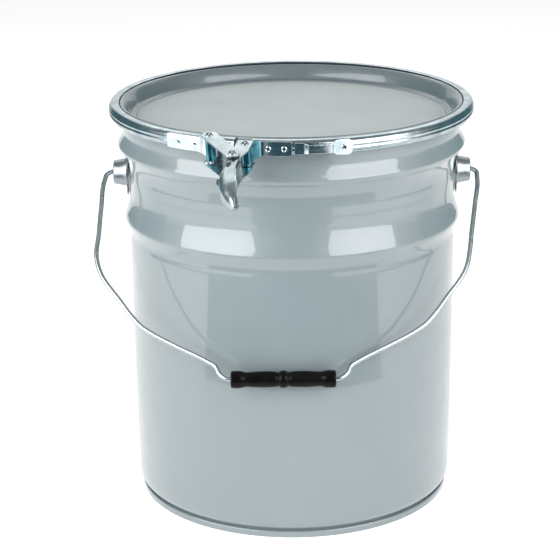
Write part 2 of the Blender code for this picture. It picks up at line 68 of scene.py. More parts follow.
# Can, lid, ring and bail
SHEET = 0.8 * MM
SEAM_RADIUS = 149.7 * MM
CHIME_RADIUS = 151.7 * MM
CHIME_HEIGHT = 6.5 * MM
PANEL_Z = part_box("bottom_end")[0].z + 3.0 * MM
CURL_CENTRE = (162.6 * MM, 378.5 * MM)
CURL_RADIUS = 2.4 * MM
LID_PANEL_RADIUS = 145.6 * MM
RING_RADIUS = 172.5 * MM
RING_MID_Z = 381.7 * MM
RING_GAP = (-16.9, -11.7)
RING_SAG = math.radians(0.5)
BAIL_Z = 315 * MM
WIRE_RADIUS = 2.2 * MM
BAIL_LEAN = math.radians(47.5)
BAIL_REACH = 224 * MM
BAIL_SHIFT = 9 * MM
BAIL_SHOULDER = 95 * MM
GRIP_HALF = 47.5 * MM
GRIP_RADIUS = 8.0 * MM
# Half of the wire: (sideways place, distance from the hinge line), from the ear to the grip
BAIL_SIDE = (
    (0.1600, 0.0), (0.1730, 0.0), (0.1768, 0.0028), (0.1781, 0.009), (0.1773, 0.040),
    (0.1755, 0.070), (0.1744, 0.094), (0.1713, 0.108), (0.1500, 0.1425), (0.1370, 0.1610),
    (0.1300, 0.1690), (0.1200, 0.1765), (0.0960, 0.1905), (0.0680, 0.2060), (0.0615, 0.2105),
    (0.0575, 0.2185), (0.0520, 0.2230), (0.0460, 0.2240),
)

# Latch plan: (along the ring, outward) from its origin on the ring's face
LATCH_AZIMUTH = math.radians(-14)
LATCH_TILT = math.radians(13)
LINK_PIN = (-28.0 * MM, 5.4 * MM)
LEVER_PIN = (5.6 * MM, 13.1 * MM)
TOGGLE_PIN = (0.7 * MM, 36.2 * MM)
BARREL_RADIUS = 3.8 * MM
LEAF = 1.2 * MM
FIT = 0.35 * MM
LEVER_HALF = 11.0 * MM
LINK_HALF = 13.7 * MM
LINK_HALF_WIDTH = 6.8 * MM
PIN_RADIUS = 2.2 * MM
RING_SEAT = 0.95 * MM             # middle of a leaf that lies on the ring's face
WELD_ANGLES = (-20.6, -15.0)      # degrees round the ring from the latch, as the rivets
RIVET_ANGLES = (("bracket_rivet_1", 7.3), ("bracket_rivet_2", 11.9), ("staple_rivet", 29.4))
LEVER_STEP = 4.8 * MM             # length of one span of the lever's web line
SLOT_PLACE = (1.6 * MM, 52.2 * MM)
SLOT_HALF = (2.0, 4.6)            # half width and half length in millimetres
NIB_SHARE = 0.54                  # how far along the lever its stop stands

# Small turned details, (radius, height) in millimetres from the face they sit on
WELD_RIM = ((1.0, -0.3), (1.0, 0.06), (1.2, 0.16), (1.5, 0.24), (1.85, 0.18), (2.1, 0.02), (2.1, -0.3))
WELD_PIT = ((0, -0.3), (1.3, -0.3), (1.3, 0.2), (0.6, 0.12), (0, 0.1))
RIVET = ((1.4, -2.9), (1.4, 0.35), (1.6, 0.75), (1.95, 0.92), (2.35, 0.8), (2.6, 0.45), (2.6, 0.0),
         (1.6, 0.0), (1.6, -2.9))
RIVET_PIT = ((0, -0.8), (1.5, -0.8), (1.5, 0.3), (0.8, 0.12), (0, 0.05))
PIN_HEAD = ((3.5, 0.0), (3.5, 0.40), (3.2, 0.70), (2.7, 0.85), (2.3, 0.70), (2.15, 0.20), (1.55, 0.20),
            (1.35, 0.55), (0.9, 0.72), (0.4, 0.76), (0, 0.76))
# Punched slot: (growth of its outline, rise over the flange)
SLOT_RIM = ((0.5, -0.2), (0.5, 0.05), (0.3, 0.16), (0.05, 0.12), (-0.1, 0.0), (-0.1, -0.2))
SLOT_FLOOR = ((0.0, -0.2), (0.0, 0.06), (-0.5, 0.05), (-1.0, 0.04))
NIB = ((0, -0.8), (3.2, -0.8), (3.2, 0.3), (2.9, 0.8), (2.7, 2.2), (2.1, 3.0), (1.0, 3.4), (0, 3.4))
PIN_GROOVE = ((1.1, 0.1), (2.6, 0.1), (2.75, 0.86), (2.0, 0.76), (1.15, 0.74))

# Fineness
AROUND = 240
SEAM_AZIMUTH = 180.0              # side weld of the shell, at the back


# ---------------------------------------------------------------- materials
def new_look(name, **sockets):
    look = bpy.data.materials.new(name)
    look.use_nodes = True
    shader = look.node_tree.nodes["Principled BSDF"]
    for key, value in sockets.items():
        shader.inputs[key.replace("_", " ")].default_value = value
    return look


def pattern(look, kind, scale, stretch=(1, 1, 1), detail=4.0, centre=(0, 0)):
    """A procedural pattern fixed to the object's own coordinates; returns its output socket."""
    nodes, links = look.node_tree.nodes, look.node_tree.links
    coords = nodes.new("ShaderNodeTexCoord")
    mapping = nodes.new("ShaderNodeMapping")
    mapping.inputs["Scale"].default_value = stretch
    links.new(coords.outputs["Object"], mapping.inputs["Vector"])
    if kind == "cells":
        texture = nodes.new("ShaderNodeTexVoronoi")
        out = texture.outputs["Color"]
    elif kind == "disc":
        texture = nodes.new("ShaderNodeTexGradient")
        texture.gradient_type = "SPHERICAL"
        mapping.inputs["Scale"].default_value = (scale, scale, 0.0)
        mapping.inputs["Location"].default_value = (-scale * centre[0], -scale * centre[1], 0.0)
        links.new(mapping.outputs["Vector"], texture.inputs["Vector"])
        return texture.outputs["Fac"]
    else:
        texture = nodes.new("ShaderNodeTexNoise")
        texture.inputs["Detail"].default_value = detail
        out = texture.outputs["Fac"]
    texture.inputs["Scale"].default_value = scale
    links.new(mapping.outputs["Vector"], texture.inputs["Vector"])
    return out


def ramp(look, source, stops):
    """Colour ramp over a pattern, stops given as (place, colour or grey)."""
    node = look.node_tree.nodes.new("ShaderNodeValToRGB")
    elements = node.color_ramp.elements
    while len(elements) < len(stops):
        elements.new(0.5)
    for element, (place, value) in zip(elements, stops):
        element.position = place
        colour = value if isinstance(value, tuple) else (value, value, value)
        element.color = (*colour, 1.0)
    look.node_tree.links.new(source, node.inputs["Fac"])
    return node.outputs["Color"]


def mix(look, factor, below, above):
    """Blend two colour sockets by a third."""
    node = look.node_tree.nodes.new("ShaderNodeMix")
    node.data_type = "RGBA"
    links = look.node_tree.links
    links.new(factor, node.inputs["Factor"])
    links.new(below, node.inputs["A"])
    links.new(above, node.inputs["B"])
    return node.outputs["Result"]


def bumps(look, layers):
    """Stack of bump maps, each given as (pattern socket, strength, height)."""
    nodes, links = look.node_tree.nodes, look.node_tree.links
    before = None
    for source, strength, height in layers:
        node = nodes.new("ShaderNodeBump")
        node.inputs["Strength"].default_value = strength
        node.inputs["Distance"].default_value = height
        links.new(source, node.inputs["Height"])
        if before:
            links.new(before, node.inputs["Normal"])
        before = node.outputs["Normal"]
    links.new(before, nodes["Principled BSDF"].inputs["Normal"])


def into(look, source, socket):
    look.node_tree.links.new(source, look.node_tree.nodes["Principled BSDF"].inputs[socket])


def paint_look(name, tint):
    """Gloss stove enamel: cloudy tint, faint handling film and a fine orange peel."""
    look = new_look(name, Metallic=0.0, IOR=1.5, Coat_Weight=1.0, Coat_Roughness=0.035, Coat_IOR=1.5)
    low = tuple(0.95 * c for c in tint)
    high = tuple(1.05 * c for c in tint)
    clouds = ramp(look, pattern(look, "noise", 7.0, detail=2.0), [(0.2, low), (0.8, high)])
    film = ramp(look, pattern(look, "noise", 3.0, (1, 1, 0.4), 2.0), [(0.2, 0.0), (0.8, 0.5)])
    hazed = ramp(look, pattern(look, "noise", 42.0, (1, 1, 0.3), 2.0), [(0.1, low), (0.9, high)])
    into(look, mix(look, film, clouds, hazed), "Base Color")
    rough = pattern(look, "noise", 45.0, detail=2.0)
    into(look, ramp(look, rough, [(0.1, 0.24), (0.9, 0.44)]), "Roughness")
    bumps(look, [(pattern(look, "noise", 13.0, (1, 1, 0.5), 2.0), 0.10, 0.8 * MM),
                 (pattern(look, "noise", 620.0, detail=2.0), 0.05, 0.06 * MM)])
    return look


def lid_look(look, panel_light_tint, panel_radius):
    """Turns an enamel dull on the flat panel and paints the panel much lighter than the walls, a painted
    highlight for the light it reflects.
    """
    shader = look.node_tree.nodes["Principled BSDF"]
    scale = 0.5 / panel_radius
    panel = ramp(look, pattern(look, "disc", scale), [(0.497, 0.0), (0.503, 1.0)])
    low = tuple(0.95 * c for c in panel_light_tint)
    high = tuple(1.04 * c for c in panel_light_tint)
    lit_panel = ramp(look, pattern(look, "noise", 26.0, detail=2.0), [(0.2, low), (0.8, high)])
    walls = shader.inputs["Base Color"].links[0].from_socket
    into(look, mix(look, panel, walls, lit_panel), "Base Color")
    into(look, ramp(look, panel, [(0.0, 0.6), (1.0, 0.0)]), "Coat Weight")
    dulled = ramp(look, pattern(look, "noise", 18.0, detail=2.0), [(0.2, 0.62), (0.8, 0.78)])
    smooth = shader.inputs["Roughness"].links[0].from_socket
    into(look, mix(look, panel, smooth, dulled), "Roughness")
    return look


def zinc_look(name, dull, bright, rough, streak):
    """Blue-passivated zinc plate: clouded tint, drawing streaks and small pits."""
    look = new_look(name, Metallic=1.0)
    clouds = ramp(look, pattern(look, "noise", 70.0, detail=3.0), [(0.30, dull), (0.70, bright)])
    deep = tuple(0.7 * c for c in dull)
    blue = ramp(look, pattern(look, "noise", 38.0), [(0.35, deep), (0.65, bright)])
    spots = ramp(look, pattern(look, "noise", 210.0, detail=2.0), [(0.45, 0.0), (0.75, 0.28)])
    into(look, mix(look, spots, clouds, blue), "Base Color")
    grain = pattern(look, "noise", 160.0, streak, 5.0)
    into(look, ramp(look, grain, [(0.25, rough), (0.75, rough + 0.12)]), "Roughness")
    bumps(look, [(grain, 0.07, 0.10 * MM), (pattern(look, "noise", 900.0), 0.04, 0.05 * MM)])
    return look


def curl_shade_look(name, centre, reach):
    """Latch zinc with painted shade: the bends round an upright pin are painted a streaky dark teal."""
    look = zinc_look(name, *LATCH_TINTS, (1, 1, 3.0))
    shade_mask = ramp(look, pattern(look, "disc", 0.5 / reach, centre=centre), [(0.38, 0.0), (0.56, 1.0)])
    streaks = pattern(look, "noise", 130.0, (1, 1, 0.25), 3.0)
    shade_colour = ramp(look, streaks, [(0.3, CURL_SHADE_DARK), (0.7, CURL_SHADE_BRIGHT)])
    plain = look.node_tree.nodes["Principled BSDF"].inputs["Base Color"].links[0].from_socket
    into(look, mix(look, shade_mask, plain, shade_colour), "Base Color")
    return look


def spangle_look(name, tint, rough, scale, contrast):
    """Hot-dip galvanised metal: flat crystals of slightly different grey."""
    look = new_look(name, Metallic=1.0)
    low = tuple(contrast * c for c in tint)
    cells = pattern(look, "cells", scale)
    crystals = ramp(look, cells, [(0.2, low), (0.8, tint)])
    dull = tuple(0.88 * c for c in tint)
    film = ramp(look, pattern(look, "noise", 60.0), [(0.3, dull), (0.7, tint)])
    blend = ramp(look, pattern(look, "noise", 150.0), [(0.4, 0.2), (0.6, 0.7)])
    into(look, mix(look, blend, film, crystals), "Base Color")
    into(look, ramp(look, cells, [(0.2, rough), (0.8, rough + 0.08)]), "Roughness")
    bumps(look, [(pattern(look, "noise", 700.0), 0.04, 0.04 * MM)])
    return look


def plastic_look():
    """Injection-moulded black grip with faint handling marks."""
    look = new_look("moulded_black", Metallic=0.0, IOR=1.46, Specular_IOR_Level=0.09)
    black = [(0.3, 0.002), (0.7, 0.005)]
    into(look, ramp(look, pattern(look, "noise", 80.0), black), "Base Color")
    marks = pattern(look, "noise", 130.0, (0.25, 1, 1), 7.0)
    into(look, ramp(look, marks, [(0.35, 0.10), (0.7, 0.24)]), "Roughness")
    bumps(look, [(marks, 0.08, 0.08 * MM), (pattern(look, "noise", 1100.0), 0.06, 0.03 * MM)])
    return look


def rubber_look():
    look = new_look("gasket_black", Metallic=0.0)
    into(look, ramp(look, pattern(look, "noise", 200.0), [(0.3, 0.02), (0.7, 0.05)]), "Base Color")
    into(look, ramp(look, pattern(look, "noise", 90.0), [(0.3, 0.55), (0.7, 0.8)]), "Roughness")
    bumps(look, [(pattern(look, "noise", 900.0), 0.15, 0.08 * MM)])
    return look


def painted_shade_look():
    """Painted shade: near-black sheets laid in rivet pits, weld craters, pin grooves and the lever's slot,
    and on the lever's stop.
    """
    look = new_look("pit_grime", Metallic=0.0, Specular_IOR_Level=0.15)
    shade_tones = [(0.3, (0.012, 0.020, 0.024)), (0.7, (0.04, 0.05, 0.055))]
    into(look, ramp(look, pattern(look, "noise", 500.0), shade_tones), "Base Color")
    into(look, ramp(look, pattern(look, "noise", 300.0), [(0.3, 0.35), (0.7, 0.6)]), "Roughness")
    bumps(look, [(pattern(look, "noise", 800.0), 0.2, 0.05 * MM)])
    return look


PAINT = paint_look("grey_enamel", (0.158, 0.193, 0.204))
# The lid's enamel is darker than the can's as painted shade in its recess; its panel tint is far lighter as
# a painted highlight.
LID_PANEL_PAINTED_LIGHT = (0.37, 0.405, 0.408)
LID_PAINT = lid_look(paint_look("grey_enamel_lid_shaded", (0.095, 0.125, 0.136)), LID_PANEL_PAINTED_LIGHT, LID_PANEL_RADIUS)
RING_ZINC = zinc_look("zinc_ring", (0.27, 0.34, 0.37), (0.50, 0.56, 0.58), 0.15, (0.3, 0.3, 6.0))
LATCH_TINTS = ((0.46, 0.56, 0.60), (0.82, 0.86, 0.88), 0.12)     # dull, bright, roughness
# Dark and light teal of the painted shade in the bracket curls round the pins.
CURL_SHADE_DARK, CURL_SHADE_BRIGHT = (0.03, 0.16, 0.21), (0.15, 0.40, 0.47)
LATCH_ZINC = zinc_look("zinc_latch", *LATCH_TINTS, (1, 1, 3.0))
LEVER_ZINC = zinc_look("zinc_lever", (0.32, 0.375, 0.395), (0.46, 0.515, 0.53), 0.22, (1, 1, 1))
PIN_ZINC = zinc_look("zinc_pin", (0.48, 0.56, 0.60), (0.74, 0.79, 0.80), 0.16, (1, 1, 1))
EAR_ZINC = spangle_look("galvanised_ear", (0.33, 0.37, 0.39), 0.28, 420.0, 0.78)
WIRE_ZINC = spangle_look("galvanised_wire", (0.45, 0.49, 0.51), 0.24, 130.0, 0.90)
PLASTIC = plastic_look()
RUBBER = rubber_look()
# Near-black material that paints shade into small hollows and onto the lever's stop.
PAINTED_SHADE = painted_shade_look()


# ---------------------------------------------------------------- mesh helpers
def new_piece(name, points, faces, look, sharp=38):
    """A mesh object with merged poles, outward faces and sharp edges where it turns hard."""
    mesh = bpy.data.meshes.new(name)
    mesh.from_pydata([tuple(p) for p in points], [], faces)
    bm = bmesh.new()
    bm.from_mesh(mesh)
    bmesh.ops.remove_doubles(bm, verts=bm.verts, dist=1e-6)
    bmesh.ops.recalc_face_normals(bm, faces=bm.faces)
    bm.to_mesh(mesh)
    bm.free()
    mesh.shade_smooth()
    mesh.set_sharp_from_angle(angle=math.radians(sharp))
    mesh.materials.append(look)
    piece = bpy.data.objects.new(name, mesh)
    bpy.context.scene.collection.objects.link(piece)
    return piece


def skin(name, rows, look, loop=False, sharp=38):
    """Skin over rows of matching closed outlines, joined end to end or capped."""
    count = len(rows[0])
    faces = []
    for i in range(len(rows) if loop else len(rows) - 1):
        here, there = i * count, (i + 1) % len(rows) * count
        for k in range(count):
            j = (k + 1) % count
            faces.append((here + k, here + j, there + j, there + k))
    if not loop:
        faces.append(tuple(range(count)))
        faces.append(tuple(range((len(rows) - 1) * count, len(rows) * count)))
    return new_piece(name, [p for row in rows for p in row], faces, look, sharp)


def lathe(name, outline, look, place=None, azimuths=None, loop=True, around=AROUND):
    """Spin a closed (radius, height) outline about Z; azimuth 0 faces -Y."""
    if azimuths is None:
        azimuths = [360.0 * i / around for i in range(around)]
    rows = []
    for azimuth in azimuths:
        angle = math.radians(azimuth - 90)
        row = [Vector((r * math.cos(angle), r * math.sin(angle), z)) for r, z in outline]
        rows.append([place @ p for p in row] if place else row)
    return skin(name, rows, look, loop)


def spline(points, per_span):
    """Smooth curve through points, tangents weighted by the spans so that it doesn't overshoot."""
    points = [Vector(p) for p in points]
    spans = [max((b - a).length, 1e-9) for a, b in zip(points, points[1:])]
    slopes = [(b - a) / h for a, b, h in zip(points, points[1:], spans)]
    tangents = [slopes[0]]
    for i in range(1, len(points) - 1):
        near, far = spans[i - 1], spans[i]
        tangents.append((slopes[i - 1] * far + slopes[i] * near) / (near + far))
    tangents.append(slopes[-1])
    path = []
    for i, h in enumerate(spans):
        for k in range(per_span):
            u = k / per_span
            path.append(points[i] * (2 * u ** 3 - 3 * u * u + 1)
                        + tangents[i] * h * (u ** 3 - 2 * u * u + u)
                        + points[i + 1] * (3 * u * u - 2 * u ** 3)
                        + tangents[i + 1] * h * (u ** 3 - u * u))
    path.append(points[-1])
    return path


def arc(centre, radius, start, end, steps):
    """Points on a circle arc, angles in degrees."""
    angles = [math.radians(start + (end - start) * i / steps) for i in range(steps + 1)]
    return [(centre[0] + radius * math.cos(a), centre[1] + radius * math.sin(a)) for a in angles]


def bezier(p0, p1, p2, p3, steps):
    points = []
    for i in range(steps + 1):
        u = i / steps
        v = 1 - u
        weights = (v ** 3, 3 * v * v * u, 3 * v * u * u, u ** 3)
        points.append(tuple(sum(w * p[k] for w, p in zip(weights, (p0, p1, p2, p3))) for k in (0, 1)))
    return points


def offset(points, distance):
    """Points moved sideways to the right of their direction of travel."""
    moved = []
    for i, (x, y) in enumerate(points):
        ax, ay = points[max(i - 1, 0)]
        bx, by = points[min(i + 1, len(points) - 1)]
        length = max(math.hypot(bx - ax, by - ay), 1e-9)
        moved.append((x + distance * (by - ay) / length, y - distance * (bx - ax) / length))
    return moved


def sheet_outline(line, thickness):
    """Closed outline of a sheet whose outer face follows the line."""
    return list(line) + list(reversed(offset(line, thickness)))


def eased(value, start=0.0, end=1.0):
    """0 before start, 1 after end, smooth between."""
    u = min(max((value - start) / (end - start), 0), 1)
    return u * u * (3 - 2 * u)


def bevelled(piece, width):
    """Roll the sheared edges of a pressed piece."""
    bevel = piece.modifiers.new("rolled_edges", "BEVEL")
    bevel.width = width
    bevel.segments = 2
    bevel.limit_method = "ANGLE"
    bevel.angle_limit = math.radians(40)
    bevel.harden_normals = True
    return piece


def stands_for(piece, node):
    """The piece takes a CAD node's place on its body."""
    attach(piece, frame["nodes"][node]["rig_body"])
    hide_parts(node)
    return piece


def rides_with(piece, node):
    """An added detail that moves with a CAD node's body."""
    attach(piece, frame["nodes"][node]["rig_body"])
    return piece


# ---------------------------------------------------------------- can, end and lid
def bead(foot, crest, head):
    """Rounded bead between its foot and its head."""
    radius, height = crest
    points = []
    for rise, share in ((0.55, 0.42), (0.88, 0.16)):
        points.append((foot[0] + rise * (radius - foot[0]), height - share * (height - foot[1])))
    points.append(crest)
    for rise, share in ((0.88, 0.16), (0.55, 0.42)):
        points.append((head[0] + rise * (radius - head[0]), height + share * (head[1] - height)))
    return points


def shell_line():
    """Outer side of the shell, from inside the bottom seam to the neck."""
    lower_foot, lower_head = (156.2 * MM, 263 * MM), (155.4 * MM, 297.5 * MM)
    upper_foot, upper_head = (156.6 * MM, 332 * MM), (160.4 * MM, 358.5 * MM)
    line = [(SEAM_RADIUS, 1.6 * MM), (SEAM_RADIUS, 8.2 * MM), (150.6 * MM, 9.0 * MM)]
    line += [(152.3 * MM, 10.7 * MM), (153.6 * MM, 12.8 * MM), (154.4 * MM, 17 * MM)]
    line += [(154.7 * MM, 30 * MM), (155.6 * MM, 84 * MM), (156.3 * MM, 160 * MM)]
    line += [(156.35 * MM, 220 * MM), (156.25 * MM, 255 * MM), lower_foot]
    line += bead(lower_foot, (160.3 * MM, 275.5 * MM), lower_head)
    line += [lower_head, (155.0 * MM, 315 * MM), (155.2 * MM, 324 * MM), upper_foot]
    line += bead(upper_foot, (164.9 * MM, 347 * MM), upper_head)
    line += [upper_head, (160.4 * MM, 364 * MM), (160.4 * MM, 372 * MM)]
    return line


def seam_azimuths():
    """Even steps round the can, closer together at the side weld."""
    step = 360.0 / AROUND
    azimuths = [step * i for i in range(AROUND)]
    near = [SEAM_AZIMUTH + 0.18 * k for k in range(-14, 15)]
    azimuths = [a for a in azimuths if abs(a - SEAM_AZIMUTH) > 2.8] + near
    return sorted(azimuths)


def build_shell():
    outer = [tuple(p) for p in spline(shell_line(), 4)]
    inner = offset(outer, -SHEET)
    rim = arc(CURL_CENTRE, CURL_RADIUS, -100, 170, 20)
    outline = outer + rim + list(reversed(inner))
    shell = lathe("can_shell", outline, PAINT, azimuths=seam_azimuths())
    for vertex in shell.data.vertices:
        x, y, z = vertex.co
        radius = math.hypot(x, y)
        away = math.degrees(math.atan2(x, y))
        crown = 0.35 * MM * math.exp(-(away / 0.5) ** 2)
        furrow = 0.22 * MM * math.exp(-((abs(away) - 1.3) / 0.45) ** 2)
        ripple = 0.05 * MM * math.sin(3 * math.radians(away) + 1.0) * math.sin(z * 21)
        weld = crown - furrow
        scale = (radius + weld * eased(z, 0.010, 0.02) + ripple) / radius
        vertex.co = (x * scale, y * scale, z)
    stands_for(shell, "can_body")


def build_bottom():
    """Seamed end: rolled chime outside, recessed panel with two shallow ribs underneath."""
    lip = 1.3 * MM
    inner_hook = SEAM_RADIUS - SHEET - 0.5 * MM
    inner_face = inner_hook - SHEET
    top = PANEL_Z + SHEET
    rib = PANEL_Z + 0.5 * MM
    outline = [(0, PANEL_Z)]
    for middle in (64 * MM, 136 * MM):
        outline += [(middle - 4 * MM, PANEL_Z), (middle - 2 * MM, rib)]
        outline += [(middle + 2 * MM, rib), (middle + 4 * MM, PANEL_Z)]
    outline += [(inner_face - 1.2 * MM, PANEL_Z)]
    outline += arc((inner_face - 1.2 * MM, PANEL_Z - 1.2 * MM), 1.2 * MM, 90, 0, 5)[1:]
    outline += arc((inner_face + 0.7 * MM, 0.7 * MM), 0.7 * MM, 180, 270, 5)
    outline += arc((CHIME_RADIUS - lip, lip), lip, -90, 0, 8)
    outline += arc((CHIME_RADIUS - lip, CHIME_HEIGHT - lip), lip, 0, 90, 8)
    outline += [(CHIME_RADIUS - lip - 0.1 * MM, 1.0 * MM), (inner_hook, 1.0 * MM)]
    outline += [(inner_hook, top), (0, top)]
    stands_for(lathe("seamed_end", outline, PAINT), "bottom_end")


def build_lid():
    """Pressed lid: flat panel, ledge, recess wall and a rim that rises just inside the ring's lip."""
    line = [(0, 371.0), (40, 371.0), (100, 371.0), (143, 371.0), (145.6, 371.05), (146.4, 371.5)]
    line += [(147.0, 372.2), (148.0, 372.65), (150.4, 372.8), (151.6, 373.3), (152.6, 374.8)]
    line += [(154.0, 377.8), (155.6, 380.8), (157.2, 383.2), (158.8, 385.0), (160.2, 386.0), (161.2, 386.2)]
    line += [(162.0, 385.7), (162.4, 384.7), (162.8, 383.8), (163.6, 383.4)]
    line += [(164.6, 383.35), (165.8, 382.9), (166.3, 381.8), (166.3, 377.8)]
    outer = [tuple(p) for p in spline([(r * MM, z * MM) for r, z in line], 3)]
    outline = sheet_outline(outer, SHEET)
    outline[-1] = (0, outer[0][1] - SHEET)
    lid = lathe("lid_pressing", outline, LID_PAINT)
    stands_for(lid, "lid")


def build_gasket():
    """D-shaped tube gasket between rim and lid."""
    low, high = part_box("lid_gasket")[0].z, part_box("lid_gasket")[1].z
    middle, half = 163.0 * MM, 1.4 * MM
    outline = [(middle - half, low)]
    for k in range(13):
        angle = math.pi * k / 12
        outline.append((middle + half * math.cos(angle), low + (high - low) * math.sin(angle)))
    stands_for(lathe("rim_gasket", outline, RUBBER), "lid_gasket")


# ---------------------------------------------------------------- closing ring
def ring_seat():
    """Lean of the open ring, which sags at the front."""
    hinge = Vector((0, RING_RADIUS, RING_MID_Z))
    return Matrix.Translation(hinge) @ Matrix.Rotation(RING_SAG, 4, "X") @ Matrix.Translation(-hinge)


SEAT = ring_seat()


def build_ring():
    """Rolled U-section with two ridges pressed along its face."""
    line = [(162.9, 387.8), (163.4, 388.25), (165.4, 388.4), (168.0, 388.4), (169.7, 387.8)]
    line += [(171.0, 386.6), (171.7, 385.3), (171.75, 384.7), (172.3, 383.9), (172.5, 383.1)]
    line += [(172.25, 382.2), (171.95, 381.4), (172.25, 380.6), (172.5, 379.8), (172.3, 378.9)]
    line += [(171.55, 378.0), (171.4, 377.2), (170.8, 376.2), (169.8, 375.3)]
    line += [(168.6, 375.0), (167.4, 375.2)]
    outer = [tuple(p) for p in spline([(r * MM, z * MM) for r, z in line], 3)]
    outline = sheet_outline(outer, 1.0 * MM)
    sweep = 360 - (RING_GAP[1] - RING_GAP[0])
    azimuths = [RING_GAP[1] + sweep * i / AROUND for i in range(AROUND + 1)]
    ring = lathe("clamp_ring", outline, RING_ZINC, SEAT, azimuths, loop=False)
    stands_for(ring, "closing_ring")


# ---------------------------------------------------------------- latch frame
def latch_axes(tilt):
    along = Vector((math.cos(LATCH_AZIMUTH), math.sin(LATCH_AZIMUTH), 0))
    out = Vector((math.sin(LATCH_AZIMUTH), -math.cos(LATCH_AZIMUTH), 0))
    up = Vector((0, 0, 1))
    origin = out * RING_RADIUS + up * RING_MID_Z
    tilted_out = out * math.cos(tilt) - up * math.sin(tilt)
    tilted_up = up * math.cos(tilt) + out * math.sin(tilt)
    return origin, along, tilted_out, tilted_up


def latch_point(plan, height, tilt=LATCH_TILT):
    origin, along, out, up = latch_axes(tilt)
    return SEAT @ (origin + along * plan[0] + out * plan[1] + up * height)


def latch_place(plan):
    """Matrix that stands a turned piece on a latch pin."""
    origin, along, out, up = latch_axes(LATCH_TILT)
    turn = Matrix((along, up.cross(along), up)).transposed().to_4x4()
    return SEAT @ Matrix.Translation(origin + along * plan[0] + out * plan[1]) @ turn


def ring_face_place(degrees, rise=0.0):
    """Matrix at the ring's outer face whose Z points outward."""
    angle = LATCH_AZIMUTH + math.radians(degrees)
    out = Vector((math.sin(angle), -math.cos(angle), 0))
    along = Vector((math.cos(angle), math.sin(angle), 0))
    turn = Matrix((along, out.cross(along), out)).transposed().to_4x4()
    return SEAT @ Matrix.Translation(out * (RING_RADIUS + rise) + Vector((0, 0, RING_MID_Z))) @ turn


def on_ring(degrees, stand_off=RING_SEAT):
    angle = math.radians(degrees)
    radius = RING_RADIUS + stand_off
    return (radius * math.sin(angle), radius * math.cos(angle) - RING_RADIUS)


def leaf(name, path, heights, tilts, look):
    """A bent strip standing on a plan path; edges are rolled."""
    left, right = offset(path, -0.5 * LEAF), offset(path, 0.5 * LEAF)
    rows = []
    for a, b, height, tilt in zip(left, right, heights, tilts):
        rows.append([latch_point(a, -height, tilt), latch_point(b, -height, tilt),
                     latch_point(b, height, tilt), latch_point(a, height, tilt)])
    return bevelled(skin(name, rows, look), 0.28 * MM)


def between(first, last, count):
    """Smooth values from first to last, both ends left out."""
    return [first + (last - first) * eased(i / (count + 1)) for i in range(1, count + 1)]


def bracket(name, span, half, climb, centre, wrap, barrel_half, shade_reach):
    """A leaf along the ring that climbs off it and curls round a pin; the curl near the pin is painted dark
    teal as shade.
    """
    flat = [on_ring(span[0] + (span[1] - span[0]) * i / 12) for i in range(13)]
    curl = arc(centre, BARREL_RADIUS, wrap[0], wrap[1], 30)
    rise = bezier(flat[-1], climb[0], climb[1], curl[0], 18)[1:-1]
    heights = [half] * len(flat) + between(half, barrel_half, len(rise)) + [barrel_half] * len(curl)
    heights[0] -= 0.8 * MM
    tilts = [0.0] * len(flat) + between(0, LATCH_TILT, len(rise)) + [LATCH_TILT] * len(curl)
    look = curl_shade_look(name + "_zinc", latch_point(centre, 0.0), shade_reach)
    return leaf(name, flat + rise + curl, heights, tilts, look)


def build_brackets():
    climb = ((-39 * MM, -3.4 * MM), (-34 * MM, LINK_PIN[1] - BARREL_RADIUS))
    left = bracket("hinge_bracket", (-25.0, -15.0), 6.6 * MM, climb,
                   LINK_PIN, (-90, 200), 10.4 * MM, 6.5 * MM)
    stands_for(left, "left_bracket")
    climb = ((13.5 * MM, 0.6 * MM), (LEVER_PIN[0] + BARREL_RADIUS, 7 * MM))
    right = bracket("lever_bracket", (14.2, 5.9), 6.4 * MM, climb,
                    LEVER_PIN, (0, 250), 9.2 * MM, 15.5 * MM)
    stands_for(right, "right_bracket")
    for number, angle in enumerate(WELD_ANGLES):
        place = ring_face_place(angle, FIT + LEAF)
        mark = lathe(f"weld_dimple_{number + 1}", millimetres(WELD_RIM), LATCH_ZINC, place, around=28)
        rides_with(mark, "left_bracket")
        # The crater is a dark sheet of painted shade.
        crater = lathe(f"weld_crater_{number + 1}", millimetres(WELD_PIT), PAINTED_SHADE, place, around=20)
        rides_with(crater, "left_bracket")


def millimetres(points):
    return [(r * MM, z * MM) for r, z in points]


def build_staple():
    """Riveted strap with a raised bridge for a seal."""
    rise = 4.0 * MM
    # (degrees from the latch, share of the rise, half height in millimetres)
    stations = [(14.9, 0, 4.6), (15.2, 0, 5.2), (17.0, 0, 5.2), (17.8, 0.04, 4.5), (18.3, 0.5, 4.1)]
    stations += [(18.8, 0.96, 3.8), (20.4, 1.0, 3.6), (22.0, 1.0, 3.6), (23.6, 1.0, 3.6), (25.1, 0.96, 3.8)]
    stations += [(25.65, 0.5, 4.2), (26.2, 0.04, 5.0), (26.8, 0, 6.2), (27.6, 0, 6.9), (29.0, 0, 6.9)]
    stations += [(30.6, 0, 6.9), (31.3, 0, 5.8), (31.7, 0, 4.5)]
    path = [on_ring(angle, RING_SEAT + rise * share) for angle, share, _ in stations]
    heights = [half * MM for _, _, half in stations]
    staple = leaf("seal_staple", path, heights, [0.0] * len(path), LATCH_ZINC)
    stands_for(staple, "lock_staple")


def build_rivets():
    """Semi-tubular rivets: a rolled rim round a deep pit, whose floor is a dark sheet of painted shade."""
    head = FIT + LEAF
    for node, angle in RIVET_ANGLES:
        place = ring_face_place(angle, head)
        piece = lathe("hollow_" + node, millimetres(RIVET), LATCH_ZINC, place, around=32)
        stands_for(piece, node)
        pit = lathe("pit_" + node, millimetres(RIVET_PIT), PAINTED_SHADE, place, around=20)
        rides_with(pit, node)


